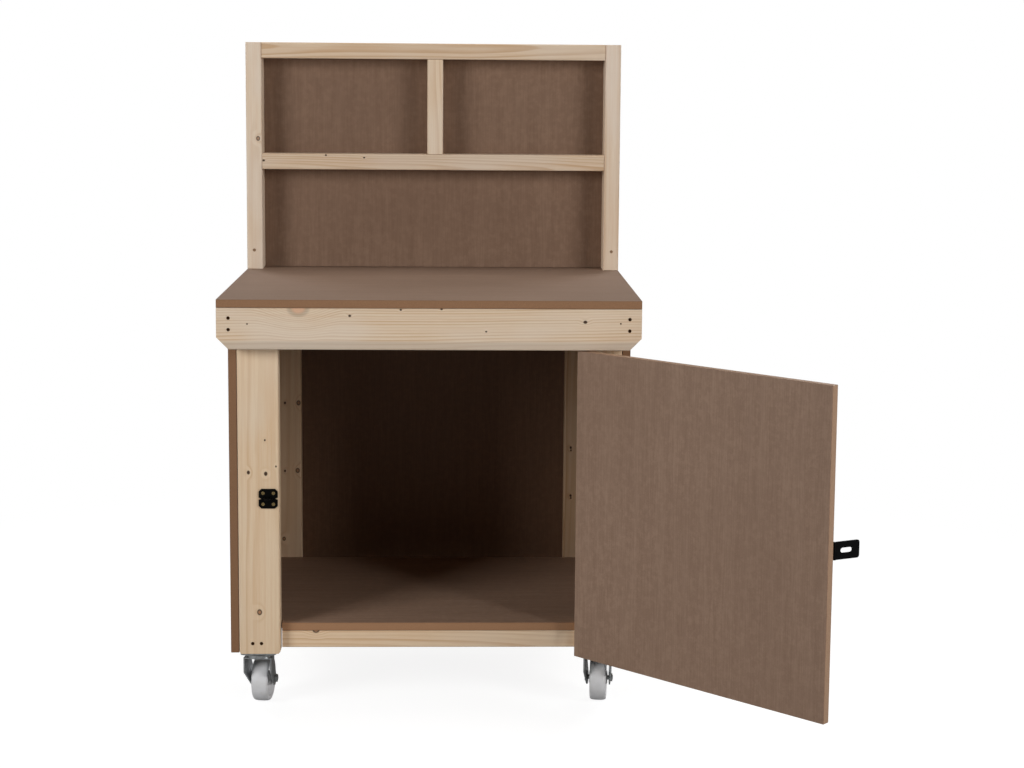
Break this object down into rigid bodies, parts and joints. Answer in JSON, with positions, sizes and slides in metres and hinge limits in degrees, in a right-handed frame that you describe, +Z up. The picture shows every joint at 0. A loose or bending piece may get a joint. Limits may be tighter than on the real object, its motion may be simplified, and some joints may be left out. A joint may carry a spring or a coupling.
{
  "type": "potting bench",
  "caption": "Timber and MDF potting bench with a shelved back frame, a worktop over an open-fronted cupboard, a side-hinged door with a hasp and staple, and swivel casters.",
  "frame": {"origin": "on the floor, under the middle of the whole assembly's bounding box with the door standing open", "axes": "+X to the right and +Y to the back as one faces the cupboard, +Z up"},
  "size_m": [1.293, 1.1448, 1.4509],
  "materials": {
    "pine": "planed, unfinished softwood with knots",
    "mdf": "matt medium-density fibreboard, sanded edges",
    "black_steel": "black japanned steel, satin",
    "zinc_steel": "bright zinc-plated pressed steel",
    "nylon": "off-white moulded nylon"
  },
  "bodies": {
    "root": {"cupboard_back_panel": "mdf", "cupboard_floor": "mdf", "front_left_caster_kingpin": "zinc_steel", "front_left_caster_plate": "zinc_steel", "front_left_leg": "pine", "front_rail": "pine", "front_right_caster_kingpin": "zinc_steel", "front_right_caster_plate": "zinc_steel", "front_right_leg": "pine", "hutch_back_panel": "mdf", "left_side_panel": "mdf", "left_side_rail": "pine", "left_upright": "pine", "lower_front_rail": "pine", "lower_hinge_leg_leaf": "black_steel", "lower_hinge_pin": "black_steel", "lower_left_rail": "pine", "lower_rear_rail": "pine", "lower_right_rail": "pine", "rear_left_caster_kingpin": "zinc_steel", "rear_left_caster_plate": "zinc_steel", "rear_left_leg": "pine", "rear_rail": "pine", "rear_right_caster_kingpin": "zinc_steel", "rear_right_caster_plate": "zinc_steel", "rear_right_leg": "pine", "right_side_panel": "mdf", "right_side_rail": "pine", "right_upright": "pine", "shelf_divider": "pine", "shelf_rail": "pine", "staple_loop": "black_steel", "staple_plate": "black_steel", "top_rail": "pine", "upper_hinge_leg_leaf": "black_steel", "upper_hinge_pin": "black_steel", "worktop_board": "mdf"},
    "door": {"door_panel": "mdf", "lower_hinge_door_leaf": "black_steel", "upper_hinge_door_leaf": "black_steel", "hasp_fixed_plate": "black_steel", "hasp_pin": "black_steel"},
    "hasp_strap": {"hasp_strap": "black_steel"},
    "front_left_caster_swivel": {"front_left_caster_axle_bolt": "zinc_steel", "front_left_caster_axle_nut": "zinc_steel", "front_left_caster_fork": "zinc_steel"},
    "front_left_caster_wheel": {"front_left_caster_wheel": "nylon"},
    "front_right_caster_swivel": {"front_right_caster_axle_bolt": "zinc_steel", "front_right_caster_axle_nut": "zinc_steel", "front_right_caster_fork": "zinc_steel"},
    "front_right_caster_wheel": {"front_right_caster_wheel": "nylon"},
    "rear_left_caster_swivel": {"rear_left_caster_axle_bolt": "zinc_steel", "rear_left_caster_axle_nut": "zinc_steel", "rear_left_caster_fork": "zinc_steel"},
    "rear_left_caster_wheel": {"rear_left_caster_wheel": "nylon"},
    "rear_right_caster_swivel": {"rear_right_caster_axle_bolt": "zinc_steel", "rear_right_caster_axle_nut": "zinc_steel", "rear_right_caster_fork": "zinc_steel"},
    "rear_right_caster_wheel": {"rear_right_caster_wheel": "nylon"}
  },
  "joints": [
    {"name": "door_hinge", "type": "hinge", "parent": "root", "child": "door", "pos_m": [0.12884, -0.10892, 0.463], "axis": [0, 0, 1], "range_deg": [-136, 40]},
    {"name": "hasp_hinge", "type": "hinge", "parent": "door", "child": "hasp_strap", "pos_m": [0.59281, -0.55698, 0.471], "axis": [0, 0, 1], "range_deg": [-67, 108]},
    {"name": "front_left_caster_swivel", "type": "hinge", "parent": "root", "child": "front_left_caster_swivel", "pos_m": [-0.56816, -0.07042, 0.11], "axis": [0, 0, 1], "continuous": true},
    {"name": "front_left_caster_roll", "type": "hinge", "parent": "front_left_caster_swivel", "child": "front_left_caster_wheel", "pos_m": [-0.56386, -0.03266, 0.05], "axis": [0.9936, -0.1132, 0], "continuous": true},
    {"name": "front_right_caster_swivel", "type": "hinge", "parent": "root", "child": "front_right_caster_swivel", "pos_m": [0.17484, -0.07042, 0.11], "axis": [0, 0, 1], "continuous": true},
    {"name": "front_right_caster_roll", "type": "hinge", "parent": "front_right_caster_swivel", "child": "front_right_caster_wheel", "pos_m": [0.17914, -0.03266, 0.05], "axis": [0.9936, -0.1132, 0], "continuous": true},
    {"name": "rear_left_caster_swivel", "type": "hinge", "parent": "root", "child": "rear_left_caster_swivel", "pos_m": [-0.56816, 0.48358, 0.11], "axis": [0, 0, 1], "continuous": true},
    {"name": "rear_left_caster_roll", "type": "hinge", "parent": "rear_left_caster_swivel", "child": "rear_left_caster_wheel", "pos_m": [-0.56386, 0.52133, 0.05], "axis": [0.9936, -0.1132, 0], "continuous": true},
    {"name": "rear_right_caster_swivel", "type": "hinge", "parent": "root", "child": "rear_right_caster_swivel", "pos_m": [0.17484, 0.48358, 0.11], "axis": [0, 0, 1], "continuous": true},
    {"name": "rear_right_caster_roll", "type": "hinge", "parent": "rear_right_caster_swivel", "child": "rear_right_caster_wheel", "pos_m": [0.17914, 0.52133, 0.05], "axis": [0.9936, -0.1132, 0], "continuous": true}
  ]
}
